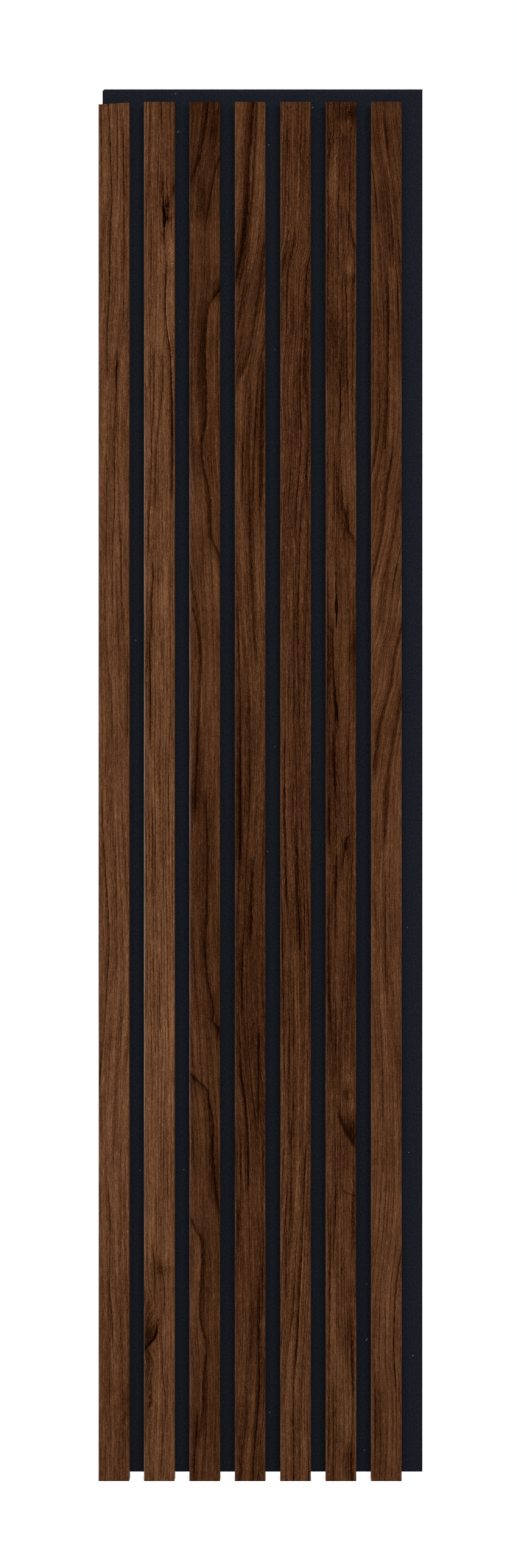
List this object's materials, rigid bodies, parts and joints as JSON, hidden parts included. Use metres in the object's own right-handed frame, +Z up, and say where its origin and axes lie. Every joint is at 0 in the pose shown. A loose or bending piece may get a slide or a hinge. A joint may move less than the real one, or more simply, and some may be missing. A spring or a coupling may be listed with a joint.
{
  "type": "acoustic slat wall panel",
  "caption": "Wall panel of dark walnut veneered slats, glued and stapled to a black felt board that laps past them at the right and top, for soaking up sound.",
  "frame": {"origin": "middle of the felt board's back face, which lies on the wall", "axes": "+X to the right across the slats as seen from the room, +Y into the wall, +Z up along the slats"},
  "size_m": [0.286, 0.021, 1.23],
  "materials": {
    "black_felt": "matt, needle-punched and pressed flat",
    "walnut_veneer": "matt lacquered dark walnut veneer with open grain",
    "staple_steel": "galvanised flat wire"
  },
  "bodies": {
    "root": {"felt_backing": "black_felt", "slat_1": "walnut_veneer", "slat_2": "walnut_veneer", "slat_3": "walnut_veneer", "slat_4": "walnut_veneer", "slat_5": "walnut_veneer", "slat_6": "walnut_veneer", "slat_7": "walnut_veneer", "staples": "staple_steel"}
  },
  "joints": []
}
